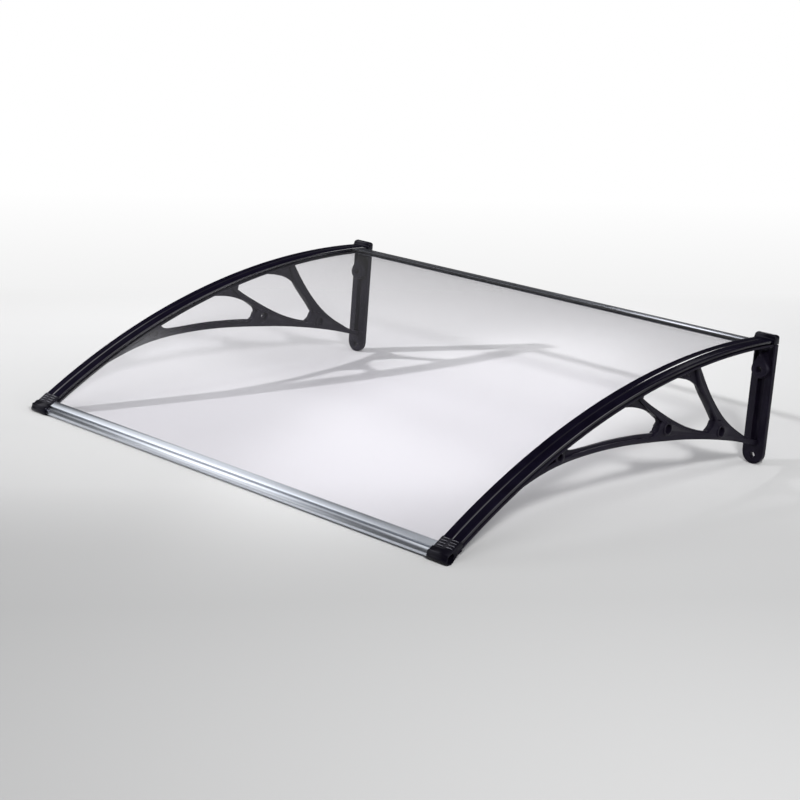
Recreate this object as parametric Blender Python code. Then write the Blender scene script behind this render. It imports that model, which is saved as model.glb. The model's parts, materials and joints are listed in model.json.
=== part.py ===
# Door canopy: a clear curved sheet held between two moulded wall brackets.
# Metres, +Z up, wall behind the plates at +Y, low front edge toward -Y.
import math

import bmesh
import bpy
from mathutils import Matrix, Vector

# Overall sizes
DEPTH = 0.8135
BRACKET_X = 0.50345
GAP = 0.0003
TINY = 0.00002

# Arc of the cover strips, seen from the side
ARC_R = 1.3723
ARC_OUT = 0.0165
ARC_TOP = 0.2647
ARC_Y = DEPTH / 2 - ARC_OUT
ARC_Z = ARC_TOP - ARC_R

# Section of strip, sheet and rail, depths measured down from the strip top
STRIP_HALF = 0.019
STRIP_THICK = 0.0027
LIP_DEPTH = 0.0047
LIP_WIDE = 0.0026
CREASE = 0.0006
SPINE_HALF = 0.0042
SHEET_TOP = LIP_DEPTH + GAP
SHEET_THICK = 0.003
SHELF_TOP = SHEET_TOP + SHEET_THICK + GAP
SHELF_THICK = 0.0038
SHELF_UNDER = SHELF_TOP + SHELF_THICK
SHELF_HALF = 0.019
SHEET_HALF = BRACKET_X - SPINE_HALF - 0.0006

# Where swept pieces start and end, as distances out from the wall
STRIP_REAR = 0.0150
STRIP_FRONT = 0.7812
SHELF_FRONT = 0.7930
SHEET_REAR = 0.0345
SHEET_FRONT = 0.7945
SHELF_REAR = 0.0005

# Arms under the rail
WEB_HALF = 0.0020
FLANGE_HALF = 0.007
JUNCTION_HALF = 0.0067
FRONT_BOSS_HALF = 0.0074
FLANGE_EDGE = 0.0007
ARCH_DEEP = 0.0085
STRUT_DEEP = 0.0062

# Wall plate
PLATE_HALF = 0.02125
PLATE_BOTTOM = 0.0382
PLATE_THICK = 0.0100
PLATE_EDGE = 0.0008
CHANNEL_HALF = 0.0066
CHANNEL_FLOOR = 0.0030
POCKET_HALF = 0.0180
POCKET_FLOOR = 0.0036
POCKET_Z = 0.2160
BOSS_OUT = 0.0205
BOSS_R = 0.0160
BOSS_TIP_Z = 0.2413
UPPER_HOLE_Z = 0.2093
LOWER_HOLE_Z = 0.0540
WALL_HOLE_R = 0.0053
PLATE_TOP = 0.2555
FOOT_Z = 0.0790

# Caps
CAP_HALF = PLATE_HALF
REAR_CAP_TOP = 0.2732
REAR_CAP_CORNER = 0.0065
FRONT_CAP_REAR = STRIP_FRONT + GAP
FRONT_CAP_HALF = 0.0192
NOSE_HALF = 0.0207
NOSE_REAR = 0.8003
RIDGES = 4
RIDGE_REAR = 0.7830
RIDGE_PITCH = 0.0043
RIDGE_X = 0.0092
RIDGE_HALF = 0.0060

# Screws
SHANK_R = 0.0019
HOLE_R = SHANK_R + GAP
HEAD_R = 0.0036
HEAD_TALL = 0.0022
STRIP_SCREW_OUTS = (0.128, 0.319, 0.481)
STRIP_SCREW_TIP = 0.0031
REAR_SCREW_OUT = 0.0100
REAR_SCREW_X = 0.012
REAR_SCREW_TIP_Z = 0.2650
FRONT_SCREW = (0.8020, 0.0090)
FRONT_SCREW_IN = 0.012
RECESS_FLOOR = 0.003

# Colours, linear
BLACK = (0.012, 0.012, 0.014)
BLACK_GLOSS = (0.010, 0.010, 0.012)
CLEAR = (0.82, 0.84, 0.86)
SILVER = (0.62, 0.64, 0.67)
RUBBER = (0.008, 0.008, 0.009)
STEEL = (0.45, 0.45, 0.46)


for old in list(bpy.data.objects):
    bpy.data.objects.remove(old, do_unlink=True)

scene = bpy.context.scene
parts = bpy.data.collections.new("door_canopy")
cutters = bpy.data.collections.new("cutters")
scene.collection.children.link(parts)
scene.collection.children.link(cutters)


def material(name, colour, roughness, metallic, clear=0.0):
    made = bpy.data.materials.new(name)
    made.use_nodes = True
    shader = made.node_tree.nodes["Principled BSDF"]
    shader.inputs["Base Color"].default_value = (*colour, 1.0)
    shader.inputs["Roughness"].default_value = roughness
    shader.inputs["Metallic"].default_value = metallic
    if clear:
        shader.inputs["Transmission Weight"].default_value = clear
    made.diffuse_color = (*colour, 1.0 - 0.6 * clear)
    return made


moulding = material("black_moulding", BLACK, 0.45, 0.0)
cover = material("black_cover", BLACK_GLOSS, 0.32, 0.0)
cap_black = material("black_cap", BLACK, 0.38, 0.0)
clear_sheet = material("clear_sheet", CLEAR, 0.04, 0.0, 1.0)
aluminium = material("brushed_aluminium", SILVER, 0.32, 1.0)
seal_black = material("seal_rubber", RUBBER, 0.8, 0.0)
zinc = material("screw_zinc", STEEL, 0.35, 1.0)


def arc_top(out):
    """Height of the strip top at a distance out from the wall."""
    return ARC_Z + math.sqrt(ARC_R ** 2 - (out - ARC_OUT) ** 2)


def arc_angle(out, radius=ARC_R):
    return math.asin((out - ARC_OUT) / radius)


def arc_point(x, out, depth):
    """Point at a depth below the strip top, square to the arc at this distance out."""
    angle = arc_angle(out)
    radius = ARC_R - depth
    return Vector((x, ARC_Y - radius * math.sin(angle), ARC_Z + radius * math.cos(angle)))


def new_object(name, mesh, target=parts):
    made = bpy.data.objects.new(name, mesh)
    target.objects.link(made)
    if target is cutters:
        made.hide_render = True
        made.display_type = "WIRE"
    return made


def clean(mesh, merge=0.00001):
    edit = bmesh.new()
    edit.from_mesh(mesh)
    bmesh.ops.remove_doubles(edit, verts=edit.verts, dist=merge)
    bmesh.ops.recalc_face_normals(edit, faces=edit.faces)
    edit.to_mesh(mesh)
    edit.free()


def swept(name, section, rear, front, steps, target=parts):
    """Section of (x, depth) points carried round the arc from rear to front."""
    edit = bmesh.new()
    verts = [edit.verts.new(arc_point(x, rear, depth)) for x, depth in section]
    face = edit.faces.new(verts)
    bmesh.ops.spin(
        edit,
        geom=[face, *face.edges, *face.verts],
        cent=(0.0, ARC_Y, ARC_Z),
        axis=(1.0, 0.0, 0.0),
        angle=arc_angle(front) - arc_angle(rear),
        steps=steps,
        use_merge=False,
        use_duplicate=False,
    )
    open_edges = [edge for edge in edit.edges if edge.is_boundary]
    if open_edges:
        bmesh.ops.contextual_create(edit, geom=open_edges)
    mesh = bpy.data.meshes.new(name)
    edit.to_mesh(mesh)
    edit.free()
    clean(mesh)
    return new_object(name, mesh, target)


def smooth(points, per=4):
    """Rounded line through the points, with a few steps between each pair."""
    line = []
    last = len(points) - 1
    for index in range(last):
        before = points[max(index - 1, 0)]
        here = points[index]
        there = points[index + 1]
        after = points[min(index + 2, last)]
        for step in range(per):
            t = step / per
            line.append(tuple(
                0.5 * (2 * b + (c - a) * t + (2 * a - 5 * b + 4 * c - d) * t * t
                       + (3 * b - a - 3 * c + d) * t ** 3)
                for a, b, c, d in zip(before, here, there, after)
            ))
    line.append(tuple(points[last]))
    return line


def beside(line, distance):
    """Line moved square to itself, to the left of its direction when positive."""
    moved = []
    last = len(line) - 1
    for index, (u, v) in enumerate(line):
        before = line[max(index - 1, 0)]
        after = line[min(index + 1, last)]
        du = after[0] - before[0]
        dv = after[1] - before[1]
        size = math.hypot(du, dv)
        moved.append((u - dv / size * distance, v + du / size * distance))
    return moved


def outline(name, loops, half, edge=0.0, plane="side", middle=0.0, target=cutters):
    """Filled outline given thickness both ways, with rounded rims when edge is set.

    The side plane takes (out, z) points and thickens along X about the middle;
    the wall plane takes (x, z) points and thickens along Y about the middle.
    """
    curve = bpy.data.curves.new(name, "CURVE")
    curve.dimensions = "2D"
    curve.fill_mode = "BOTH"
    curve.resolution_u = 1
    curve.extrude = half - edge
    curve.bevel_depth = edge
    curve.bevel_resolution = 1
    curve.offset = -edge
    for loop in loops:
        spline = curve.splines.new("POLY")
        spline.points.add(len(loop) - 1)
        for point, (u, v) in zip(spline.points, loop):
            point.co = (u, v, 0.0, 1.0)
        spline.use_cyclic_u = True
    holder = bpy.data.objects.new(name, curve)
    scene.collection.objects.link(holder)
    if plane == "side":
        turn = Matrix(((0, 0, 1, middle), (-1, 0, 0, DEPTH / 2), (0, 1, 0, 0), (0, 0, 0, 1)))
    else:
        turn = Matrix(((1, 0, 0, 0), (0, 0, 1, middle), (0, 1, 0, 0), (0, 0, 0, 1)))
    holder.matrix_world = turn
    bpy.context.view_layer.update()
    mesh = bpy.data.meshes.new_from_object(holder)
    mesh.transform(turn)
    bpy.data.objects.remove(holder, do_unlink=True)
    clean(mesh)
    return new_object(name, mesh, target)


def cylinder(name, radius, start, end, sides=24, target=cutters):
    """Round bar between two points."""
    start = Vector(start)
    end = Vector(end)
    along = end - start
    edit = bmesh.new()
    bmesh.ops.create_cone(
        edit, cap_ends=True, segments=sides, radius1=radius, radius2=radius, depth=along.length
    )
    mesh = bpy.data.meshes.new(name)
    edit.to_mesh(mesh)
    edit.free()
    turn = along.to_track_quat("Z", "Y").to_matrix().to_4x4()
    mesh.transform(Matrix.Translation((start + end) / 2) @ turn)
    clean(mesh)
    return new_object(name, mesh, target)


def box(name, low, high, target=cutters):
    low = Vector(low)
    high = Vector(high)
    edit = bmesh.new()
    bmesh.ops.create_cube(edit, size=1.0)
    mesh = bpy.data.meshes.new(name)
    edit.to_mesh(mesh)
    edit.free()
    size = high - low
    mesh.transform(Matrix.Translation((low + high) / 2) @ Matrix.Diagonal((*size, 1.0)))
    return new_object(name, mesh, target)


def combine(base, tool, operation="DIFFERENCE"):
    change = base.modifiers.new(operation.lower(), "BOOLEAN")
    change.operation = operation
    change.solver = "EXACT"
    change.object = tool
    bpy.context.view_layer.update()
    result = bpy.data.meshes.new_from_object(
        base.evaluated_get(bpy.context.evaluated_depsgraph_get())
    )
    base.modifiers.clear()
    old = base.data
    base.data = result
    bpy.data.meshes.remove(old)
    clean(base.data)
    return base


def y_of(out):
    return DEPTH / 2 - out


def circle(u, v, radius, sides=24):
    return [
        (u + radius * math.cos(2 * math.pi * k / sides), v + radius * math.sin(2 * math.pi * k / sides))
        for k in range(sides)
    ]


def finish(made, name, look, smooth_angle=math.radians(35)):
    """Name the piece, give it its look and shade its round faces smooth."""
    made.name = name
    made.data.name = name
    for link in list(made.users_collection):
        link.objects.unlink(made)
    parts.objects.link(made)
    made.hide_render = False
    made.display_type = "TEXTURED"
    made.data.materials.clear()
    made.data.materials.append(look)
    for face in made.data.polygons:
        face.use_smooth = True
        face.material_index = 0
    made.data.set_sharp_from_angle(angle=smooth_angle)
    return made


def copied(source, name, shift=0.0, mirror=False):
    """Copy of a finished piece with a mesh of its own, moved or mirrored in X."""
    mesh = source.data.copy()
    if mirror:
        mesh.transform(Matrix.Diagonal((-1.0, 1.0, 1.0, 1.0)))
        mesh.flip_normals()
    else:
        mesh.transform(Matrix.Translation((shift, 0.0, 0.0)))
    mesh.name = name
    return new_object(name, mesh)


def under_rail(out, extra=0.0):
    """Point on the underside of the rail, as (out, z), with an extra depth."""
    place = arc_point(0.0, out, SHELF_UNDER + extra)
    return (y_of(0.0) - place.y, place.z)


# Lines of the arms, as (out, z), read from the side of the bracket
ARCH_LOWER = [
    under_rail(0.7500, 0.0004), under_rail(0.7250, 0.0030), under_rail(0.6960, 0.0056),
    (0.6717, 0.0773), (0.6206, 0.0962), (0.5797, 0.1082), (0.5386, 0.1158), (0.4975, 0.1201),
    (0.4563, 0.1224), (0.4150, 0.1231), (0.3736, 0.1222), (0.3321, 0.1200), (0.2801, 0.1164),
    (0.2280, 0.1118), (0.1757, 0.1054), (0.1233, 0.0973), (0.0813, 0.0895), (0.0475, 0.0818),
    (0.0159, 0.0737), (0.0021, 0.0703),
]
ARCH_UPPER = [
    (0.5181, 0.1323), (0.4862, 0.1333), (0.4450, 0.1355), (0.4037, 0.1362), (0.3519, 0.1351),
    (0.3119, 0.1327),
]
STRUT_A_FRONT = [
    (0.3032, 0.1487), (0.3058, 0.1548), (0.3157, 0.1638), (0.3417, 0.1756), (0.3718, 0.1837),
    (0.3987, 0.1866),
]
STRUT_A_BACK = [
    (0.3481, 0.1955), (0.3272, 0.1829), (0.3064, 0.1719), (0.2856, 0.1611), (0.2647, 0.1508),
    (0.2438, 0.1415), (0.2229, 0.1332), (0.2020, 0.1265), (0.1811, 0.1207), (0.1653, 0.1174),
]
STRUT_B_FRONT = [
    (0.1466, 0.1375), (0.1593, 0.1531), (0.1698, 0.1650), (0.1804, 0.1766), (0.1909, 0.1885),
    (0.2035, 0.2008), (0.2182, 0.2092), (0.2349, 0.2151), (0.2568, 0.2196),
]
STRUT_B_BACK = [
    (0.2001, 0.2358), (0.1816, 0.2090), (0.1605, 0.1819), (0.1394, 0.1589), (0.1183, 0.1390),
    (0.0973, 0.1231), (0.0761, 0.1099), (0.0550, 0.0988), (0.0392, 0.0907), (0.0175, 0.0818),
    (0.0036, 0.0768),
]
WINDOW_1_FRONT = [(0.5372, 0.1432), (0.5356, 0.1382), (0.5289, 0.1338)]
WINDOW_1_REAR = [(0.3057, 0.1350), (0.3024, 0.1416)]
WINDOW_2_REAR = [(0.1559, 0.1177), (0.1492, 0.1227), (0.1455, 0.1303)]
GUSSET_A_END = 0.4350
GUSSET_B_END = 0.3020

RING_FRONT = (0.2796, 0.1372)
RING_REAR = (0.1245, 0.1124)
RING_R = 0.0118
RING_DIMPLE_R = 0.0082
RING_HOLE_R = 0.0060
RING_HALF = 0.0082
FRONT_BOSS = (0.5545, 0.1265)
FRONT_BOSS_R = 0.0112
FRONT_DIMPLE_R = 0.0062
DIMPLE_FLOOR = 0.0015
JUNCTION = [
    (0.0030, 0.0740), (0.0175, 0.0785), (0.0392, 0.0868), (0.0550, 0.0943), (0.0761, 0.1047),
    (0.0973, 0.1170), (0.1130, 0.1270), (0.1240, 0.1322), (0.1340, 0.1318), (0.1430, 0.1345),
    (0.1500, 0.1260), (0.1600, 0.1140), (0.1811, 0.1175), (0.2020, 0.1228), (0.2229, 0.1290),
    (0.2438, 0.1365), (0.2620, 0.1440), (0.2780, 0.1478), (0.2970, 0.1500), (0.3060, 0.1400),
    (0.3120, 0.1300), (0.3321, 0.1215), (0.2801, 0.1180), (0.2280, 0.1134), (0.1757, 0.1070),
    (0.1233, 0.0990), (0.0813, 0.0910), (0.0475, 0.0833), (0.0159, 0.0752),
]
PIN_HOLE_R = 0.0014
PIN_HOLES = (
    (0.2495, 0.2241), (0.2375, 0.2232), (0.2260, 0.2199),
    (0.4019, 0.1899), (0.3931, 0.1906), (0.3843, 0.1904),
)
STRUT_A_LINE = [
    (0.2824, 0.1430), (0.2990, 0.1528), (0.3157, 0.1638), (0.3324, 0.1736), (0.3480, 0.1840),
    (0.3615, 0.1940), (0.3740, 0.2044),
]
STRUT_B_LINE = [
    (0.1276, 0.1144), (0.1382, 0.1274), (0.1487, 0.1404), (0.1593, 0.1531), (0.1698, 0.1650),
    (0.1804, 0.1766), (0.1909, 0.1889), (0.2009, 0.2025), (0.2093, 0.2168), (0.2178, 0.2341),
]


def rail_edge(front, rear, count, extra=0.0):
    """Points along the rail underside from front to rear."""
    return [
        under_rail(front + (rear - front) * k / (count - 1), extra) for k in range(count)
    ]


def window_loops():
    """The three windows of the arms."""
    over = -0.0010
    one = (
        rail_edge(0.5375, GUSSET_A_END, 6, over)
        + smooth(STRUT_A_FRONT, 3)[::-1]
        + WINDOW_1_REAR[::-1]
        + smooth(ARCH_UPPER, 3)[::-1]
        + WINDOW_1_FRONT[::-1]
    )
    two = (
        rail_edge(0.3470, GUSSET_B_END, 4, over)
        + smooth(STRUT_B_FRONT, 2)[::-1]
        + WINDOW_2_REAR[::-1]
        + smooth(STRUT_A_BACK, 2)[::-1]
    )
    three = (
        rail_edge(0.2015, 0.0036, 9, over)
        + smooth(STRUT_B_BACK, 2)[::-1]
    )
    return one, two, three


def flange(name, line, deep, side):
    """Flange of the arms: a line given depth to one side and the flange width."""
    made = outline(name, [line + beside(line, deep * side)[::-1]], FLANGE_HALF, FLANGE_EDGE)
    wide = 2 * FLANGE_HALF
    mid_shelf = (SHELF_TOP + SHELF_UNDER) / 2
    above = [(-wide, -0.03), (wide, -0.03), (wide, mid_shelf), (-wide, mid_shelf)]
    return combine(made, swept("above", above, SHELF_REAR, 0.77, 40, cutters))


def plate_slab():
    """Upright slab of the wall plate with its round lower tab, middle channel and top pocket."""
    centre = PLATE_BOTTOM + PLATE_HALF
    steps = 20
    tab = [
        (PLATE_HALF * math.cos(math.pi * k / steps), centre - PLATE_HALF * math.sin(math.pi * k / steps))
        for k in range(steps + 1)
    ]
    loop = [(-PLATE_HALF, PLATE_TOP), (PLATE_HALF, PLATE_TOP)] + tab
    middle = y_of(PLATE_THICK / 2)
    slab = outline("slab", [loop], PLATE_THICK / 2, PLATE_EDGE, "wall", middle)
    reach = y_of(0.03)
    combine(slab, box(
        "channel", (-CHANNEL_HALF, reach, FOOT_Z), (CHANNEL_HALF, y_of(CHANNEL_FLOOR), 0.30)
    ))
    combine(slab, box(
        "pocket", (-POCKET_HALF, reach, POCKET_Z), (POCKET_HALF, y_of(POCKET_FLOOR), 0.30)
    ))
    return slab


def plate_boss():
    """Drop-shaped boss round the upper screw hole, with its tip up."""
    steps = 24
    half_turn = math.pi - math.acos(BOSS_R / (BOSS_TIP_Z - UPPER_HOLE_Z))
    loop = [
        (
            BOSS_R * math.sin(-half_turn + 2 * half_turn * k / steps),
            UPPER_HOLE_Z - BOSS_R * math.cos(-half_turn + 2 * half_turn * k / steps),
        )
        for k in range(steps + 1)
    ]
    loop.append((0.0, BOSS_TIP_Z))
    rear = 0.002
    middle = y_of((BOSS_OUT + rear) / 2)
    return outline("boss", [loop], (BOSS_OUT - rear) / 2, PLATE_EDGE, "wall", middle)


def make_bracket():
    """Rail, arms, ring bosses and wall plate as one moulding about X = 0."""
    arch = smooth(ARCH_LOWER, 2)
    web_top = rail_edge(0.750, 0.006, 20, -0.0015)
    low = beside(arch, -0.25 * ARCH_DEEP)
    rear_line = [(0.002, web_top[-1][1]), (0.002, low[-1][1] + 0.001)]
    web = outline("web", [web_top + rear_line + low[:-1][::-1]], WEB_HALF)
    junction = outline("junction", [JUNCTION], JUNCTION_HALF, FLANGE_EDGE)
    combine(web, junction, "UNION")
    for number, loop in enumerate(window_loops(), 1):
        combine(web, outline(f"window_{number}", [loop], 0.02))

    shelf = [
        (-SHELF_HALF, SHELF_TOP), (SHELF_HALF, SHELF_TOP), (SHELF_HALF, SHELF_UNDER - 0.0006),
        (SHELF_HALF - 0.0006, SHELF_UNDER), (0.0006 - SHELF_HALF, SHELF_UNDER),
        (-SHELF_HALF, SHELF_UNDER - 0.0006),
    ]
    bracket = swept("bracket", shelf, SHELF_REAR, SHELF_FRONT, 40)
    pieces = [
        web,
        flange("arch_flange", arch, ARCH_DEEP, -1),
        flange("strut_a_flange", smooth(STRUT_A_LINE, 2), STRUT_DEEP, 1),
        flange("strut_b_flange", smooth(STRUT_B_LINE, 2), STRUT_DEEP, 1),
        outline("ring_front", [circle(*RING_FRONT, RING_R)], RING_HALF, FLANGE_EDGE),
        outline("ring_rear", [circle(*RING_REAR, RING_R)], RING_HALF, FLANGE_EDGE),
        outline("front_boss", [circle(*FRONT_BOSS, FRONT_BOSS_R)], FRONT_BOSS_HALF, FLANGE_EDGE),
        plate_slab(),
        plate_boss(),
    ]
    for piece in pieces:
        combine(bracket, piece, "UNION")

    holes = [(RING_FRONT, RING_HOLE_R, 20)]
    holes += [(place, PIN_HOLE_R, 8) for place in PIN_HOLES]
    for (out, z), radius, sides in holes:
        combine(bracket, cylinder("hole", radius, (-0.03, y_of(out), z), (0.03, y_of(out), z), sides))
    dimples = [
        (RING_FRONT, RING_DIMPLE_R), (RING_REAR, RING_DIMPLE_R), (FRONT_BOSS, FRONT_DIMPLE_R),
    ]
    for (out, z), radius in dimples:
        for side in (-1, 1):
            combine(bracket, cylinder(
                "dimple", radius, (side * DIMPLE_FLOOR, y_of(out), z), (side * 0.03, y_of(out), z)
            ))
    for z in (UPPER_HOLE_Z, LOWER_HOLE_Z):
        combine(bracket, cylinder(
            "wall_hole", WALL_HOLE_R, (0.0, y_of(-0.01), z), (0.0, y_of(0.04), z), 24
        ))
    for out in STRIP_SCREW_OUTS:
        combine(bracket, cylinder(
            "screw_hole", HOLE_R, arc_point(0.0, out, SHELF_UNDER + 0.01), arc_point(0.0, out, 0.0), 16
        ))
    for side in (-1, 1):
        x = side * REAR_SCREW_X
        y = y_of(REAR_SCREW_OUT)
        combine(bracket, cylinder("screw_hole", HOLE_R, (x, y, 0.24), (x, y, 0.29), 16))
    return bracket


def make_cover_strip():
    """Pressing strip over the sheet edge, with lips and a middle spine."""
    half = [
        (0.0020, 0.0001), (0.0034, 0.0), (0.0130, 0.0002), (0.0174, 0.0005),
        (STRIP_HALF, 0.0014), (STRIP_HALF, LIP_DEPTH), (STRIP_HALF - LIP_WIDE, LIP_DEPTH),
        (STRIP_HALF - LIP_WIDE, STRIP_THICK), (SPINE_HALF, STRIP_THICK),
        (SPINE_HALF, SHELF_TOP - GAP),
    ]
    section = [(0.0, CREASE)] + half + [(-x, depth) for x, depth in half[::-1]]
    strip = swept("cover_strip", section, STRIP_REAR, STRIP_FRONT, 40)
    for out in STRIP_SCREW_OUTS:
        combine(strip, cylinder(
            "screw_hole", HOLE_R, arc_point(0.0, out, 0.02),
            arc_point(0.0, out, STRIP_SCREW_TIP - GAP), 16,
        ))
    return strip


def arc_line(rear, front, depth, count):
    """Points at one depth below the strip top, as (out, z)."""
    points = []
    for k in range(count):
        place = arc_point(0.0, rear + (front - rear) * k / max(count - 1, 1), depth)
        points.append((y_of(0.0) - place.y, place.z))
    return points


def make_front_cap():
    """Front cap about X = 0, with its outer side toward +X."""
    skin = -0.0003
    front = [
        (0.8098, 0.0160), (0.8114, 0.0140), (0.8118, 0.0126), (0.8124, 0.0084), (0.8134, 0.0070),
        (DEPTH, 0.0052), (DEPTH - 0.0006, 0.0026), (0.8108, 0.0006),
        (0.8088, 0.0), (0.8005, 0.0), (0.7968, 0.0014), (0.7938, 0.0056),
    ]
    top = arc_line(FRONT_CAP_REAR, 0.8075, skin, 2)
    heel = [(0.7890, 0.0115)] + arc_line(0.7868, 0.7868, SHELF_UNDER + 0.0018, 1)
    back = arc_line(FRONT_CAP_REAR, FRONT_CAP_REAR, SHELF_TOP - GAP, 1)
    cap = outline("front_cap", [top + front + heel + back], FRONT_CAP_HALF, 0.0004)
    nose = arc_line(NOSE_REAR, 0.8075, skin - 0.0012, 2) + front[:-2] + [(NOSE_REAR, 0.0)]
    combine(cap, outline("nose", [nose], NOSE_HALF, 0.0006), "UNION")
    for number in range(RIDGES):
        start = RIDGE_REAR + number * RIDGE_PITCH
        ridge = [
            *arc_line(start, start, 0.0005, 1),
            *arc_line(start + 0.0004, start + 0.0018, skin - 0.0010, 2),
            *arc_line(start + 0.0024, start + 0.0024, 0.0005, 1),
        ]
        for side in (-1, 1):
            combine(cap, outline(
                "ridge", [ridge], RIDGE_HALF, 0.0, "side", side * RIDGE_X
            ), "UNION")
    seat_half = 0.03
    seat = [
        (-seat_half, SHELF_TOP - GAP), (seat_half, SHELF_TOP - GAP),
        (seat_half, SHELF_UNDER + GAP), (-seat_half, SHELF_UNDER + GAP),
    ]
    combine(cap, swept("seat", seat, FRONT_CAP_REAR - 0.02, SHELF_FRONT + GAP, 3, cutters))
    slot = [
        (-0.03, SHEET_TOP - GAP), (-SPINE_HALF, SHEET_TOP - GAP),
        (-SPINE_HALF, SHELF_TOP), (-0.03, SHELF_TOP),
    ]
    combine(cap, swept("slot", slot, FRONT_CAP_REAR - 0.02, SHEET_FRONT + 2 * GAP, 3, cutters))
    recess = [
        (0.8000, 0.0020), (0.8084, 0.0020), (0.8106, 0.0034), (0.8111, 0.0076),
        (0.8096, 0.0126), (0.8052, 0.0160), (0.7995, 0.0172), (0.7957, 0.0140), (0.7957, 0.0070),
        (0.7975, 0.0036),
    ]
    deep = 0.02
    combine(cap, outline("recess", [recess], deep, 0.0, "side", RECESS_FLOOR + deep))
    out, z = FRONT_SCREW
    combine(cap, cylinder("screw_hole", HOLE_R, (-0.03, y_of(out), z), (0.01, y_of(out), z), 16))
    return cap


def make_rear_cap():
    """Rear cap about X = 0, over the strip end and the top of the plate."""
    under = arc_line(0.0, STRIP_REAR - GAP, SHELF_TOP - GAP, 3)
    over = arc_line(STRIP_REAR - GAP, 0.0140, -0.0002, 2)
    hump = [
        (0.0134, 0.2672), (0.0126, 0.2700), (0.0108, 0.2721), (0.0080, REAR_CAP_TOP),
        (0.0046, 0.2729), (0.0020, 0.2717), (0.0005, 0.2699), (0.0, 0.2680),
    ]
    cap = outline("rear_cap", [under + over + hump], CAP_HALF + 0.001)
    corner = REAR_CAP_CORNER
    centre = (CAP_HALF - corner, REAR_CAP_TOP + 0.0006 - corner)
    right = [
        (centre[0] + corner * math.cos(math.radians(a)), centre[1] + corner * math.sin(math.radians(a)))
        for a in range(0, 91, 15)
    ]
    crown = [(CAP_HALF, 0.24)] + right + [(-x, z) for x, z in right[::-1]] + [(-CAP_HALF, 0.24)]
    combine(cap, outline("crown", [crown], 0.04, 0.0, "wall", y_of(0.01)), "INTERSECT")
    for side in (-1, 1):
        x = side * REAR_SCREW_X
        y = y_of(REAR_SCREW_OUT)
        combine(cap, cylinder(
            "screw_hole", HOLE_R, (x, y, 0.24), (x, y, REAR_SCREW_TIP_Z + GAP), 16
        ))
    return cap


def make_sheet():
    section = [
        (-SHEET_HALF, SHEET_TOP), (SHEET_HALF, SHEET_TOP),
        (SHEET_HALF, SHEET_TOP + SHEET_THICK), (-SHEET_HALF, SHEET_TOP + SHEET_THICK),
    ]
    return swept("canopy_sheet", section, SHEET_REAR, SHEET_FRONT, 48)


def make_front_rail():
    """Front bar that grips the low edge of the sheet."""
    grip_rear = 0.7905
    groove = 0.8018
    top = arc_line(grip_rear, groove, 0.0010, 3)
    groove_floor = arc_line(groove, groove + 0.0012, 0.0032, 2)
    nose = [
        (0.8040, 0.0150), (0.8072, 0.0126), (0.8096, 0.0092), (0.8104, 0.0060),
        (0.8098, 0.0034), (0.8082, 0.0022), (0.8050, 0.0020), (0.8000, 0.0046),
    ]
    under = arc_line(0.7985, grip_rear, 0.0100, 2)
    slot_under = arc_line(grip_rear, SHEET_FRONT + GAP, SHEET_TOP + SHEET_THICK + GAP, 2)
    slot_over = arc_line(SHEET_FRONT + GAP, grip_rear, SHEET_TOP - GAP, 2)
    loop = top + groove_floor + nose + under + slot_under + slot_over
    rail = outline("front_rail", [loop], BRACKET_X - FRONT_CAP_HALF - GAP)
    out, z = FRONT_SCREW
    for side in (-1, 1):
        end = side * (BRACKET_X - NOSE_HALF)
        ends = (end - side * GAP, end + side * 0.01)
        combine(rail, box(
            "end", (min(ends), y_of(0.83), -0.02), (max(ends), y_of(NOSE_REAR - GAP), 0.04)
        ))
        combine(rail, cylinder(
            "screw_hole", HOLE_R,
            (end + side * 0.01, y_of(out), z), (end - side * (FRONT_SCREW_IN + GAP), y_of(out), z), 16,
        ))
    return rail


def make_rear_rail():
    """Bar that grips the top edge of the sheet."""
    rear = 0.0322
    top = arc_line(rear, 0.0560, 0.0012, 4)
    front_over = arc_line(0.0560, 0.0560, SHEET_TOP - GAP, 1)
    slot_over = arc_line(0.0545, SHEET_REAR - GAP, SHEET_TOP - GAP, 3)
    slot_under = arc_line(SHEET_REAR - GAP, 0.0500, SHELF_TOP, 3)
    under = arc_line(0.0500, rear, 0.0100, 3)
    return outline(
        "rear_rail", [top + front_over + slot_over + slot_under + under],
        BRACKET_X - STRIP_HALF - GAP,
    )


def make_rear_seal():
    """Rubber line that closes the gap at the front edge of the rear bar."""
    front = 0.0602
    rear = 0.0560 + GAP
    loop = (
        arc_line(rear, front - 0.0016, 0.0016, 2)
        + arc_line(front, front, 0.0031, 1)
        + arc_line(front, rear, SHEET_TOP - GAP, 2)
    )
    return outline("rear_seal", [loop], BRACKET_X - STRIP_HALF - GAP)


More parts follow.
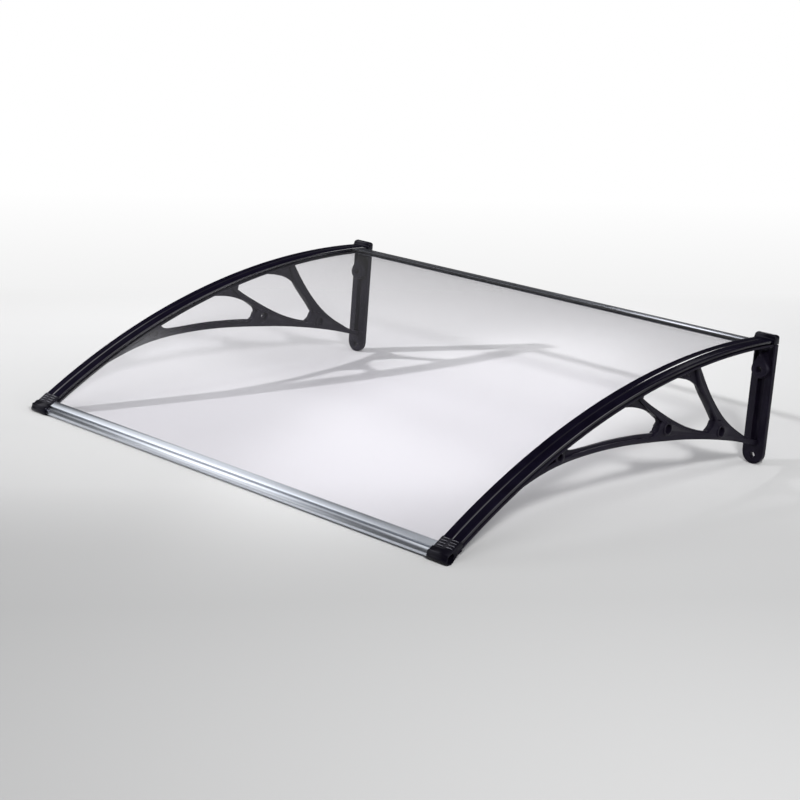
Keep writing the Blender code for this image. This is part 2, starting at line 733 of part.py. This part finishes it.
def make_screw(name, head_at, tip_at):
    """Pan head with a cross-shaped dent, and a plain shank with a point."""
    head_at = Vector(head_at)
    tip_at = Vector(tip_at)
    along = (tip_at - head_at).normalized()
    reach = (tip_at - head_at).length
    profile = [
        (0.0, -HEAD_TALL), (HEAD_R * 0.55, -HEAD_TALL), (HEAD_R * 0.9, -HEAD_TALL * 0.6),
        (HEAD_R, -0.0003), (HEAD_R, 0.0), (SHANK_R, 0.0), (SHANK_R, reach - SHANK_R),
        (SHANK_R * 0.3, reach), (0.0, reach),
    ]
    edit = bmesh.new()
    verts = [edit.verts.new((radius, 0.0, height)) for radius, height in profile]
    edges = [edit.edges.new(pair) for pair in zip(verts, verts[1:])]
    bmesh.ops.spin(
        edit, geom=verts + edges, cent=(0.0, 0.0, 0.0), axis=(0.0, 0.0, 1.0),
        angle=2 * math.pi, steps=16, use_merge=True, use_duplicate=False,
    )
    mesh = bpy.data.meshes.new(name)
    edit.to_mesh(mesh)
    edit.free()
    clean(mesh)
    screw = new_object(name, mesh)
    for turn in (0.0, 90.0):
        dent = box("dent", (-0.0014, -0.0004, -0.01), (0.0014, 0.0004, -HEAD_TALL * 0.45))
        dent.data.transform(Matrix.Rotation(math.radians(turn), 4, "Z"))
        combine(screw, dent)
    turn = along.to_track_quat("Z", "Y").to_matrix().to_4x4()
    screw.data.transform(Matrix.Translation(head_at) @ turn)
    return screw


def build():
    bracket = finish(make_bracket(), "bracket_right", moulding)
    strip = finish(make_cover_strip(), "cover_strip_right", cover)
    front_cap = finish(make_front_cap(), "front_cap_right", cap_black)
    rear_cap = finish(make_rear_cap(), "rear_cap_right", cap_black)
    screws = []
    for number, out in enumerate(STRIP_SCREW_OUTS, 1):
        screws.append(make_screw(
            f"strip_screw_right_{number}",
            arc_point(0.0, out, SHELF_UNDER + GAP), arc_point(0.0, out, STRIP_SCREW_TIP),
        ))
    for number, side in enumerate((-1, 1), 1):
        x = side * REAR_SCREW_X
        seat_z = arc_point(0.0, REAR_SCREW_OUT, SHELF_UNDER + GAP).z
        screws.append(make_screw(
            f"rear_screw_right_{number}",
            (x, y_of(REAR_SCREW_OUT), seat_z), (x, y_of(REAR_SCREW_OUT), REAR_SCREW_TIP_Z),
        ))
    out, z = FRONT_SCREW
    screws.append(make_screw(
        "front_screw_right",
        (RECESS_FLOOR + GAP, y_of(out), z), (-NOSE_HALF - FRONT_SCREW_IN, y_of(out), z),
    ))
    for screw in screws:
        finish(screw, screw.name, zinc)

    right_side = [bracket, strip, front_cap, rear_cap, *screws]
    for piece in right_side:
        piece.data.transform(Matrix.Translation((BRACKET_X, 0.0, 0.0)))
        copied(piece, piece.name.replace("right", "left"), mirror=True)

    finish(make_sheet(), "canopy_sheet", clear_sheet)
    finish(make_front_rail(), "front_rail", aluminium)
    finish(make_rear_rail(), "rear_rail", aluminium)
    finish(make_rear_seal(), "rear_seal", seal_black)


build()
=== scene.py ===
import json
import math

import bpy
from mathutils import Matrix, Vector

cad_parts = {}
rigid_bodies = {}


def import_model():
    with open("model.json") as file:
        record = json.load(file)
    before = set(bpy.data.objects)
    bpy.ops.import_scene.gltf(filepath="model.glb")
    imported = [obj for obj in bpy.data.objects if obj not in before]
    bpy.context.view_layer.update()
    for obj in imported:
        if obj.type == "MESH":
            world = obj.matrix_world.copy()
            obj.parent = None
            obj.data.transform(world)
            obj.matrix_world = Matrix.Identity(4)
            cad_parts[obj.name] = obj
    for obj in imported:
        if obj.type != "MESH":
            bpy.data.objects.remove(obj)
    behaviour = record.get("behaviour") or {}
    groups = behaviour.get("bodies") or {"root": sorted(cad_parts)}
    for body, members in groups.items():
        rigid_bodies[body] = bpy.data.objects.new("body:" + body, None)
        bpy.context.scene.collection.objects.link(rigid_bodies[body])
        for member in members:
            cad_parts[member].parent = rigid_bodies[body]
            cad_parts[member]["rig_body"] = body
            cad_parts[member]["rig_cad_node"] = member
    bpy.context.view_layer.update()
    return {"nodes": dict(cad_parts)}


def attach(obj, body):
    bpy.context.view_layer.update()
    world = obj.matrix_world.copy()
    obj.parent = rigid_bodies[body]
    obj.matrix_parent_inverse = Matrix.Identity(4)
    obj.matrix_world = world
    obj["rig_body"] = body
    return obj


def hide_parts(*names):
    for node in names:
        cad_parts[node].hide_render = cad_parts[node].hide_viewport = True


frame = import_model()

nodes = frame["nodes"]

# Sizes and places on the canopy, in metres

DEPTH = 0.8135  # wall to front edge
BRACKET_X = 0.50345  # middle plane of each bracket
GROOVE_Y = DEPTH / 2 - 0.8024  # middle of the groove along the front bar
GROOVE_FLOOR = 0.0006  # half width of the groove's bottom, where the painted shade is darkest
GROOVE_HALF = 0.0013  # where the painted shade in the groove ends
STRIP_HALF = 0.019  # half width of a cover strip
STRIP_EDGE = 0.0016  # width of the polished line along a strip's outer edge
CREASE_HALF = 0.0016  # half width of the groove along the middle of a strip
RIDGE_Y = DEPTH / 2 - 0.7830  # where the grip ridges of the front caps start
RIDGE_PITCH = 0.0043
RIDGES = 4.0
RIDGE_X = 0.0092  # middle of each row of ridges, from the bracket plane
RIDGE_HALF = 0.0060
RIDGE_Z = 0.015  # the ridges lie above this height
CAP_TOP = 0.1  # above all of the front cap

# Camera, solved from the outline in the photograph

CAMERA_AT = (2.3257, -2.41905, 0.8861)
CAMERA_RIGHT = Vector((0.709219, 0.701058, 0.074332))
CAMERA_UP = Vector((-0.214215, 0.113847, 0.970129))
CAMERA_FORWARD = Vector((-0.671655, 0.703958, -0.230919))
CAMERA_LENS = 86.801
SENSOR_WIDTH = 36.0

# Floor, through the lowest points of the front caps and of the wall plate tabs

FLOOR_FRONT_Y = DEPTH / 2 - 0.8045
FLOOR_SLOPE = 0.0382 / 0.8045
FLOOR_GAP = 0.00005
FLOOR_HALF = 14.0
FLOOR_TURN = math.radians(-53.0)
FLOOR_NEAR = -1.5
FLOOR_FAR = 3.5

# Greys by the distance in metres from the middle of the canopy, away from the camera

FLOOR_TONES = (
    (-1.5, 0.440), (-0.8, 0.435), (-0.57, 0.475), (-0.27, 0.560), (0.08, 0.545),
    (0.52, 0.615), (0.85, 0.680), (1.09, 0.75), (1.83, 0.88),
)
BACKDROP_TONES = ((1.09, 0.88), (1.83, 0.94), (2.6, 1.0))
BACKDROP_SHARE = ((0.75, 0.0), (1.25, 1.0))

# Painted pool of light: brighter oval of floor under the clear sheet, full and gone at these shares
# of its half sizes

POOL_SHIFT = (-0.055, -0.215, 0.0)
POOL_TURN = math.radians(-22.0)
POOL_X = 0.31
POOL_Y = 0.95
POOL_FULL = 0.35
POOL_END = 1.25
PAINTED_LIGHT_GAIN = 1.27

# Key lamp

KEY_TOWARD = Vector((-0.445, -0.76, 0.485)).normalized()
KEY_AIM = Vector((-0.66, -0.05, 0.10))
KEY_DISTANCE = 9.0
KEY_SPREAD = 1.06
KEY_STRENGTH = 3.2
KEY_SOFTNESS = math.radians(1.1)

# Softboxes: name, direction, distance, width, height and strength

SOFTBOXES = (
    ("right_box", (0.68, -0.42, 0.52), 2.6, 0.30, 0.30, 125.0),
    ("overhead_right", (0.50, 0.25, 0.84), 1.9, 1.0, 1.0, 1.6),
    ("rear_box", (-0.295, 0.695, 0.656), 3.2, 0.56, 0.95, 6.0),
)

# Sky: a band along the horizon, and soft patches by direction, outer angle, inner angle and strength

HORIZON_LOW = 0.01
HORIZON_HIGH = 0.10
HORIZON_STRENGTH = 0.50
SKY_STRENGTH = 0.07
SKY_GLOWS = (
    ((0.10, -0.12, 1.0), 38.0, 16.0, 1.2),
    ((-0.76, -0.03, 0.65), 20.0, 12.0, 0.9),
    ((-0.725, -0.264, 0.635), 14.0, 8.0, 1.1),
    ((-0.725, -0.528, 0.441), 20.0, 8.0, 0.75),
    ((-0.72, -0.66, 0.18), 22.0, 8.0, 0.5),
    ((0.82, 0.40, 0.30), 26.0, 8.0, 2.0),
)

# Sockets of a colour Mix node, which share their names with those for other kinds of value

MIX_SHARE = 0
MIX_FIRST = 6
MIX_SECOND = 7
MIX_COLOUR = 2


# Nodes

class Wiring:
    """Shorthand for adding and joining the nodes of one material, or of the sky."""

    def __init__(self, owner):
        self.tree = owner.node_tree

    def add(self, kind, **values):
        node = self.tree.nodes.new(kind)
        for key, value in values.items():
            setattr(node, key, value)
        return node

    def join(self, start, end):
        self.tree.links.new(start, end)

    def place(self, scale=(1.0, 1.0, 1.0), turn=(0.0, 0.0, 0.0), shift=(0.0, 0.0, 0.0)):
        """Object coordinates through a Mapping node."""
        where = self.add("ShaderNodeTexCoord")
        mapping = self.add("ShaderNodeMapping")
        mapping.inputs["Scale"].default_value = scale
        mapping.inputs["Rotation"].default_value = turn
        mapping.inputs["Location"].default_value = shift
        self.join(where.outputs["Object"], mapping.inputs["Vector"])
        return mapping.outputs["Vector"]

    def split(self, vector):
        """The X, Y and Z sockets of a vector."""
        node = self.add("ShaderNodeSeparateXYZ")
        self.join(vector, node.inputs["Vector"])
        return node.outputs

    def noise(self, vector, scale, detail=3.0, roughness=0.5):
        node = self.add("ShaderNodeTexNoise")
        node.inputs["Scale"].default_value = scale
        node.inputs["Detail"].default_value = detail
        node.inputs["Roughness"].default_value = roughness
        self.join(vector, node.inputs["Vector"])
        return node.outputs["Fac"]

    def ramp(self, value, stops):
        """Colour by value, from stops of a position and a colour."""
        node = self.add("ShaderNodeValToRGB")
        band = node.color_ramp
        while len(band.elements) < len(stops):
            band.elements.new(0.5)
        for element, (spot, colour) in zip(band.elements, stops):
            element.position = spot
            element.color = (*colour, 1.0)
        self.join(value, node.inputs["Fac"])
        return node.outputs["Color"]

    def fade(self, value, start, end, low=0.0, high=1.0, curve="SMOOTHSTEP"):
        """Low up to the start, high from the end on, and a smooth change between them."""
        node = self.add("ShaderNodeMapRange", interpolation_type=curve)
        node.inputs["From Min"].default_value = start
        node.inputs["From Max"].default_value = end
        node.inputs["To Min"].default_value = low
        node.inputs["To Max"].default_value = high
        self.join(value, node.inputs["Value"])
        return node.outputs["Result"]

    def spread(self, value, low, high):
        """Value from 0..1 spread evenly over low..high."""
        return self.fade(value, 0.0, 1.0, low, high, "LINEAR")

    def window(self, value, low, high, soft):
        """One inside low..high and none outside, with soft edges."""
        rise = self.fade(value, low - soft, low + soft)
        fall = self.fade(value, high + soft, high - soft)
        return self.maths("MULTIPLY", rise, fall)

    def maths(self, operation, *terms, **values):
        """Math node on sockets and fixed numbers."""
        node = self.add("ShaderNodeMath", operation=operation, **values)
        for term, socket in zip(terms, node.inputs):
            if isinstance(term, float):
                socket.default_value = term
            else:
                self.join(term, socket)
        return node.outputs["Value"]

    def scaled(self, colour, factor):
        """Colour made lighter or darker by a factor."""
        node = self.add("ShaderNodeVectorMath", operation="SCALE")
        self.join(colour, node.inputs[0])
        self.join(factor, node.inputs["Scale"])
        return node.outputs["Vector"]

    def blend(self, share, first, second):
        """First colour, turned into a fixed second one by its share."""
        node = self.add("ShaderNodeMix", data_type="RGBA")
        node.inputs[MIX_SECOND].default_value = (*second, 1.0)
        self.join(share, node.inputs[MIX_SHARE])
        self.join(first, node.inputs[MIX_FIRST])
        return node.outputs[MIX_COLOUR]

    def bump(self, height, strength, distance, under=None):
        node = self.add("ShaderNodeBump")
        node.inputs["Strength"].default_value = strength
        node.inputs["Distance"].default_value = distance
        self.join(height, node.inputs["Height"])
        if under is not None:
            self.join(under, node.inputs["Normal"])
        return node.outputs["Normal"]

    def layer(self, share, under, over):
        """One shader over another, by its share."""
        node = self.add("ShaderNodeMixShader")
        self.join(share, node.inputs["Fac"])
        self.join(under, node.inputs[1])
        self.join(over, node.inputs[2])
        return node.outputs["Shader"]

    def finish(self, shader, output="ShaderNodeOutputMaterial"):
        out = self.add(output)
        self.join(shader, out.inputs["Surface"])


def new_material(name):
    """Empty material and the wiring for its nodes."""
    made = bpy.data.materials.new(name)
    made.use_nodes = True
    made.node_tree.nodes.clear()
    return made, Wiring(made)


# Camera and floor

def set_camera():
    """Camera at the photograph's viewing angle."""
    view = bpy.data.cameras.new("camera")
    view.lens = CAMERA_LENS
    view.sensor_width = SENSOR_WIDTH
    view.clip_start = 0.05
    view.clip_end = 100.0
    camera = bpy.data.objects.new("camera", view)
    bpy.context.scene.collection.objects.link(camera)
    turn = Matrix((CAMERA_RIGHT, CAMERA_UP, -CAMERA_FORWARD)).transposed().to_4x4()
    camera.matrix_world = Matrix.Translation(CAMERA_AT) @ turn
    bpy.context.scene.camera = camera


def floor_greys(wires, away, tones):
    """Grey by the distance over the floor."""
    reach = FLOOR_FAR - FLOOR_NEAR
    return wires.ramp(away, [((t - FLOOR_NEAR) / reach, (tone, tone, tone)) for t, tone in tones])


def painted_light_pool(wires):
    """How much lighter the floor is painted in the oval under the clear sheet, as a painted pool of
    light.
    """
    spot = wires.place(turn=(0.0, 0.0, POOL_TURN), shift=POOL_SHIFT)
    oval = wires.add("ShaderNodeVectorMath", operation="MULTIPLY")
    oval.inputs[1].default_value = (1.0 / POOL_X, 1.0 / POOL_Y, 0.0)
    wires.join(spot, oval.inputs[0])
    middle = wires.add("ShaderNodeVectorMath", operation="LENGTH")
    wires.join(oval.outputs["Vector"], middle.inputs[0])
    return wires.fade(middle.outputs["Value"], POOL_END, POOL_FULL, 1.0, PAINTED_LIGHT_GAIN, "SMOOTHERSTEP")


def floor_material():
    """Pale matt floor, lighter toward the back, where it turns into the white backdrop, and with a
    painted pool of light under the clear sheet.
    """
    made, wires = new_material("studio_floor")
    spot = wires.place(turn=(0.0, 0.0, FLOOR_TURN))
    away = wires.fade(wires.split(spot)["Y"], FLOOR_NEAR, FLOOR_FAR, curve="LINEAR")

    matt = wires.add("ShaderNodeBsdfDiffuse")
    matt.inputs["Roughness"].default_value = 0.6
    # The floor's grey is lifted under the clear sheet by a painted pool of light.
    tone = wires.scaled(floor_greys(wires, away, FLOOR_TONES), painted_light_pool(wires))
    wires.join(tone, matt.inputs["Color"])
    speckle = wires.noise(spot, scale=900.0, detail=2.0)
    wires.join(wires.bump(speckle, strength=0.05, distance=0.0004), matt.inputs["Normal"])

    backdrop = wires.add("ShaderNodeEmission")
    wires.join(floor_greys(wires, away, BACKDROP_TONES), backdrop.inputs["Color"])
    path = wires.add("ShaderNodeLightPath")
    seen = wires.maths("MAXIMUM", path.outputs["Is Camera Ray"], path.outputs["Is Transmission Ray"])
    share = wires.maths("MULTIPLY", floor_greys(wires, away, BACKDROP_SHARE), seen)
    wires.finish(wires.layer(share, matt.outputs["BSDF"], backdrop.outputs["Emission"]))
    return made


def set_floor():
    """Wide plane that leans as the canopy does where it stands."""
    bpy.ops.object.select_all(action="DESELECT")
    bpy.ops.mesh.primitive_plane_add(size=2.0 * FLOOR_HALF)
    floor = bpy.context.object
    floor.name = "floor"
    floor.data.name = "floor"
    for corner in floor.data.vertices:
        corner.co.z = FLOOR_SLOPE * (corner.co.y - FLOOR_FRONT_Y) - FLOOR_GAP
    floor.data.materials.append(floor_material())


# Light

def facing(toward):
    """Turn of a lamp that stands in a direction and shines back."""
    return toward.to_track_quat("Z", "Y").to_matrix().to_4x4()


def softbox(name, direction, distance, width, height, strength):
    """Rectangular lamp that faces the middle of the canopy."""
    lamp = bpy.data.lights.new(name, "AREA")
    lamp.shape = "RECTANGLE"
    lamp.size = width
    lamp.size_y = height
    lamp.energy = strength * width * height * math.pi
    box = bpy.data.objects.new(name, lamp)
    bpy.context.scene.collection.objects.link(box)
    toward = Vector(direction).normalized()
    box.matrix_world = Matrix.Translation(toward * distance) @ facing(toward)


def key_lamp():
    """Far lamp on the left arch, which throws its shadow on the floor."""
    lamp = bpy.data.lights.new("key", "SPOT")
    lamp.energy = 4 * math.pi * KEY_DISTANCE ** 2 * KEY_STRENGTH
    lamp.shadow_soft_size = KEY_DISTANCE * math.tan(KEY_SOFTNESS)
    lamp.spot_size = 2 * math.atan(KEY_SPREAD / KEY_DISTANCE)
    lamp.spot_blend = 1.0
    key = bpy.data.objects.new("key", lamp)
    bpy.context.scene.collection.objects.link(key)
    key.visible_glossy = False
    key.matrix_world = Matrix.Translation(KEY_AIM + KEY_TOWARD * KEY_DISTANCE) @ facing(KEY_TOWARD)


def glow(wires, where, direction, outer, inner, strength):
    """Soft round patch of light in the sky, full inside one angle and gone outside another."""
    near = wires.add("ShaderNodeVectorMath", operation="DOT_PRODUCT")
    near.inputs[1].default_value = Vector(direction).normalized()
    wires.join(where, near.inputs[0])
    gone = math.cos(math.radians(outer))
    full = math.cos(math.radians(inner))
    return wires.fade(near.outputs["Value"], gone, full, 0.0, strength)


def set_sky():
    """Dim studio sky, with the patches that metal and plastic mirror. The camera sees white there."""
    world = bpy.data.worlds.new("studio")
    bpy.context.scene.world = world
    world.use_nodes = True
    world.node_tree.nodes.clear()
    wires = Wiring(world)
    where = wires.add("ShaderNodeTexCoord").outputs["Generated"]
    height = wires.split(where)["Z"]
    total = wires.fade(height, HORIZON_HIGH, HORIZON_LOW, SKY_STRENGTH, HORIZON_STRENGTH)
    for patch in SKY_GLOWS:
        total = wires.maths("ADD", total, glow(wires, where, *patch))
    sky = wires.add("ShaderNodeBackground")
    sky.inputs["Color"].default_value = (0.98, 0.985, 1.0, 1.0)
    wires.join(total, sky.inputs["Strength"])
    white = wires.add("ShaderNodeBackground")
    white.inputs["Color"].default_value = (1.0, 1.0, 1.0, 1.0)
    path = wires.add("ShaderNodeLightPath")
    surface = wires.layer(
        path.outputs["Is Camera Ray"], sky.outputs["Background"], white.outputs["Background"]
    )
    wires.finish(surface, "ShaderNodeOutputWorld")


def set_light():
    """Lamps, sky and the plain view transform."""
    key_lamp()
    for box in SOFTBOXES:
        softbox(*box)
    set_sky()
    bpy.context.scene.view_settings.view_transform = "Standard"


# Finishes

def from_bracket_plane(wires, x):
    """Distance of a point from the middle plane of its bracket."""
    across = wires.maths("ABSOLUTE", x)
    return wires.maths("ABSOLUTE", wires.maths("SUBTRACT", across, BRACKET_X))


def ridge_glint_mask(wires, spot):
    """Mask of the grip ridges' crests on the front caps, where a painted highlight goes."""
    x, y, z = wires.split(spot)
    count = wires.maths("DIVIDE", wires.maths("SUBTRACT", RIDGE_Y, y), RIDGE_PITCH)
    off = from_bracket_plane(wires, x)
    crest = wires.window(wires.maths("FRACT", count), 0.10, 0.40, 0.06)
    rows = wires.window(count, 0.0, RIDGES, 0.02)
    width = wires.window(off, RIDGE_X - RIDGE_HALF, RIDGE_X + RIDGE_HALF, 0.0004)
    top = wires.window(z, RIDGE_Z, CAP_TOP, 0.001)
    lines = wires.maths("MULTIPLY", crest, rows)
    patch = wires.maths("MULTIPLY", width, top)
    return wires.maths("MULTIPLY", lines, patch)


def strip_polish(wires, spot):
    """Mask of a strip's polished lines, beside its middle groove and along its outer edges."""
    x = wires.split(spot)["X"]
    off = from_bracket_plane(wires, x)
    ridge = wires.fade(off, CREASE_HALF * 1.4, CREASE_HALF * 0.8)
    edge = wires.fade(off, STRIP_HALF - STRIP_EDGE, STRIP_HALF - STRIP_EDGE / 2, 0.0, 0.7)
    return wires.maths("ADD", ridge, edge, use_clamp=True)


def moulded_plastic(name, tone, rough, shine, grain_scale, grain_depth, creased=False, ridge_glint_tone=None):
    """Black moulded plastic with a fine grain and faint flow marks.

    A creased piece has polished lines, as the cover strips do.
    With a ridge glint tone, the crests of the grip ridges are painted in it, a painted highlight.
    """
    made, wires = new_material(name)
    spot = wires.place()
    shader = wires.add("ShaderNodeBsdfPrincipled")
    shader.inputs["Specular Tint"].default_value = (0.84, 0.82, 1.0, 1.0)
    shader.inputs["Specular IOR Level"].default_value = shine
    cloud = wires.noise(spot, scale=38.0, detail=4.0, roughness=0.6)
    dark = tuple(c * 0.8 for c in tone)
    light = tuple(c * 1.35 for c in tone)
    colour = wires.ramp(cloud, [(0.35, dark), (0.70, light)])
    # Painted highlight: the crests of the grip ridges are painted in a lighter tone.
    if ridge_glint_tone:
        colour = wires.blend(ridge_glint_mask(wires, spot), colour, ridge_glint_tone)
    wires.join(colour, shader.inputs["Base Color"])
    if creased:
        wires.join(strip_polish(wires, spot), shader.inputs["Coat Weight"])
        shader.inputs["Coat Roughness"].default_value = 0.10
        shader.inputs["Coat IOR"].default_value = 1.7
    smears = wires.noise(spot, scale=90.0)
    wires.join(wires.spread(smears, rough - 0.05, rough + 0.07), shader.inputs["Roughness"])
    fine = wires.noise(spot, grain_scale, detail=2.0, roughness=0.7)
    coarse = wires.noise(spot, grain_scale * 0.2, detail=2.0)
    grain = wires.bump(fine, strength=0.25, distance=grain_depth)
    wires.join(wires.bump(coarse, 0.12, grain_depth * 3, grain), shader.inputs["Normal"])
    wires.finish(shader.outputs["BSDF"])
    return made


def groove_painted_shade(wires, spot):
    """Factor of painted shade that darkens the metal in the groove of the front bar."""
    y = wires.split(spot)["Y"]
    side = wires.maths("ABSOLUTE", wires.maths("SUBTRACT", y, GROOVE_Y))
    return wires.fade(side, GROOVE_FLOOR, GROOVE_HALF, 0.22, 1.0)


def brushed_metal(name, tone, rough, grooved=False):
    """Satin aluminium with fine draw lines along X."""
    made, wires = new_material(name)
    spot = wires.place()
    shader = wires.add("ShaderNodeBsdfPrincipled")
    shader.inputs["Metallic"].default_value = 1.0
    along = wires.place(scale=(6.0, 2200.0, 2200.0))
    lines = wires.noise(along, scale=1.0, roughness=0.6)
    dark = tuple(c * 0.94 for c in tone)
    light = tuple(min(c * 1.05, 1.0) for c in tone)
    colour = wires.ramp(lines, [(0.30, dark), (0.70, light)])
    # Painted shade: the front bar's groove is darkened in the colour.
    if grooved:
        colour = wires.scaled(colour, groove_painted_shade(wires, spot))
    wires.join(colour, shader.inputs["Base Color"])
    smears = wires.noise(spot, scale=14.0)
    wires.join(wires.spread(smears, rough - 0.04, rough + 0.05), shader.inputs["Roughness"])
    wires.join(wires.bump(lines, strength=0.10, distance=0.00002), shader.inputs["Normal"])
    wires.finish(shader.outputs["BSDF"])
    return made


def clear_plastic(name):
    """Clear polycarbonate with a glossy skin, a straight view through and a faint haze."""
    made, wires = new_material(name)
    spot = wires.place()
    through = wires.add("ShaderNodeBsdfTransparent")
    through.inputs["Color"].default_value = (0.985, 0.98, 0.995, 1.0)
    haze = wires.add("ShaderNodeBsdfDiffuse")
    haze.inputs["Color"].default_value = (0.93, 0.92, 0.96, 1.0)
    cloud = wires.noise(spot, scale=5.0, detail=4.0, roughness=0.6)
    veil = wires.layer(
        wires.spread(cloud, 0.003, 0.008), through.outputs["BSDF"], haze.outputs["BSDF"]
    )
    gloss = wires.add("ShaderNodeBsdfGlossy")
    gloss.inputs["Color"].default_value = (1.0, 1.0, 1.0, 1.0)
    wires.join(wires.spread(wires.noise(spot, scale=60.0), 0.03, 0.08), gloss.inputs["Roughness"])
    edge = wires.add("ShaderNodeLayerWeight")
    edge.inputs["Blend"].default_value = 0.5
    steep = wires.maths("POWER", edge.outputs["Facing"], 5.0)
    wires.finish(wires.layer(wires.spread(steep, 0.035, 0.75), veil, gloss.outputs["BSDF"]))
    return made


def rubber(name):
    """Matt black seal rubber."""
    made, wires = new_material(name)
    spot = wires.place()
    shader = wires.add("ShaderNodeBsdfPrincipled")
    cloud = wires.noise(spot, scale=120.0)
    colour = wires.ramp(cloud, [(0.3, (0.006, 0.006, 0.007)), (0.7, (0.014, 0.014, 0.016))])
    wires.join(colour, shader.inputs["Base Color"])
    smears = wires.noise(spot, scale=300.0, detail=2.0)
    wires.join(wires.spread(smears, 0.6, 0.8), shader.inputs["Roughness"])
    grain = wires.noise(spot, scale=1500.0, detail=2.0)
    wires.join(wires.bump(grain, strength=0.3, distance=0.00005), shader.inputs["Normal"])
    wires.finish(shader.outputs["BSDF"])
    return made


def zinc(name):
    """Zinc plating on the screws."""
    made, wires = new_material(name)
    spot = wires.place()
    shader = wires.add("ShaderNodeBsdfPrincipled")
    shader.inputs["Metallic"].default_value = 1.0
    cloud = wires.noise(spot, scale=700.0)
    colour = wires.ramp(cloud, [(0.3, (0.38, 0.38, 0.40)), (0.7, (0.52, 0.52, 0.52))])
    wires.join(colour, shader.inputs["Base Color"])
    smears = wires.noise(spot, scale=900.0, detail=2.0)
    wires.join(wires.spread(smears, 0.28, 0.42), shader.inputs["Roughness"])
    wires.finish(shader.outputs["BSDF"])
    return made


def dress(node, material):
    """Give a CAD node its finish."""
    slots = nodes[node].material_slots
    for slot in slots:
        slot.material = material
    if not slots:
        nodes[node].data.materials.append(material)


# Pieces modelled over the plain solids

def copy_of_solid(node, name):
    """Copy of a CAD node with its own mesh, at the origin and free of its body."""
    made = nodes[node].copy()
    made.data = nodes[node].data.copy()
    made.name = name
    made.data.name = name
    bpy.context.scene.collection.objects.link(made)
    made.parent = None
    made.matrix_world = Matrix.Identity(4)
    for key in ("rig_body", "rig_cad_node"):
        if key in made:
            del made[key]
    return made


def merge_loose_triangles():
    """Join the triangles of the active copy, and melt the flat ones into whole faces."""
    bpy.ops.object.mode_set(mode="EDIT")
    bpy.ops.mesh.select_all(action="SELECT")
    bpy.ops.mesh.remove_doubles(threshold=0.00001)
    bpy.ops.mesh.dissolve_limited(angle_limit=math.radians(0.5))
    bpy.ops.object.mode_set(mode="OBJECT")


def round_edges(made, width, angle):
    """Round every edge of the active copy that is sharper than the angle."""
    bevel = made.modifiers.new("rounding", "BEVEL")
    bevel.width = width
    bevel.segments = 2
    bevel.limit_method = "ANGLE"
    bevel.angle_limit = math.radians(angle)
    bpy.ops.object.modifier_apply(modifier="rounding")


def rounded_copy(node, name, material, width, angle=40.0):
    """Finished piece over a solid, with its sharp edges rounded and its faces smooth."""
    made = copy_of_solid(node, name)
    bpy.ops.object.select_all(action="DESELECT")
    made.select_set(True)
    bpy.context.view_layer.objects.active = made
    merge_loose_triangles()
    if width:
        round_edges(made, width, angle)
    bpy.ops.object.shade_smooth_by_angle(angle=math.radians(32.0))
    made.data.materials.clear()
    made.data.materials.append(material)
    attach(made, "root")
    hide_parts(node)


def build():
    """The whole canopy, each piece in its finish."""
    moulding = moulded_plastic(
        "bracket_moulding", (0.0065, 0.0052, 0.0105), rough=0.31, shine=0.16,
        grain_scale=1400.0, grain_depth=0.00001,
    )
    cover = moulded_plastic(
        "cover_strip_gloss", (0.0040, 0.0032, 0.0080), rough=0.16, shine=0.004,
        grain_scale=1800.0, grain_depth=0.00002, creased=True,
    )
    # The lighter tone on the ridge crests is a painted highlight.
    cap = moulded_plastic(
        "cap_moulding", (0.003, 0.0026, 0.0052), rough=0.13, shine=0.18,
        grain_scale=1400.0, grain_depth=0.00001, ridge_glint_tone=(0.15, 0.15, 0.17),
    )
    front_metal = brushed_metal("front_bar_aluminium", (0.72, 0.755, 0.82), rough=0.23, grooved=True)
    # The rear bar's aluminium has a darker tone than the front bar's, a painted shade.
    rear_shaded_metal = brushed_metal("rear_bar_aluminium_painted_shade", (0.26, 0.27, 0.31), rough=0.28)
    sheet = clear_plastic("clear_polycarbonate")
    seal = rubber("seal_rubber_black")
    screw = zinc("screw_zinc_plate")
    for side in ("left", "right"):
        rounded_copy(f"bracket_{side}", f"bracket_moulding_{side}", moulding, 0.0004)
        rounded_copy(f"cover_strip_{side}", f"cover_profile_{side}", cover, 0.0005, 30.0)
        rounded_copy(f"front_cap_{side}", f"front_end_cap_{side}", cap, 0.0006)
        rounded_copy(f"rear_cap_{side}", f"rear_end_cap_{side}", cap, 0.0008, 30.0)
        for number in (1, 2, 3):
            dress(f"strip_screw_{side}_{number}", screw)
        for number in (1, 2):
            dress(f"rear_screw_{side}_{number}", screw)
        dress(f"front_screw_{side}", screw)
    rounded_copy("front_rail", "front_bar", front_metal, 0.0003, 35.0)
    rounded_copy("rear_rail", "rear_bar", rear_shaded_metal, 0.0003, 35.0)
    rounded_copy("canopy_sheet", "clear_sheet_panel", sheet, 0.0)
    dress("rear_seal", seal)


set_camera()
set_floor()
set_light()
build()
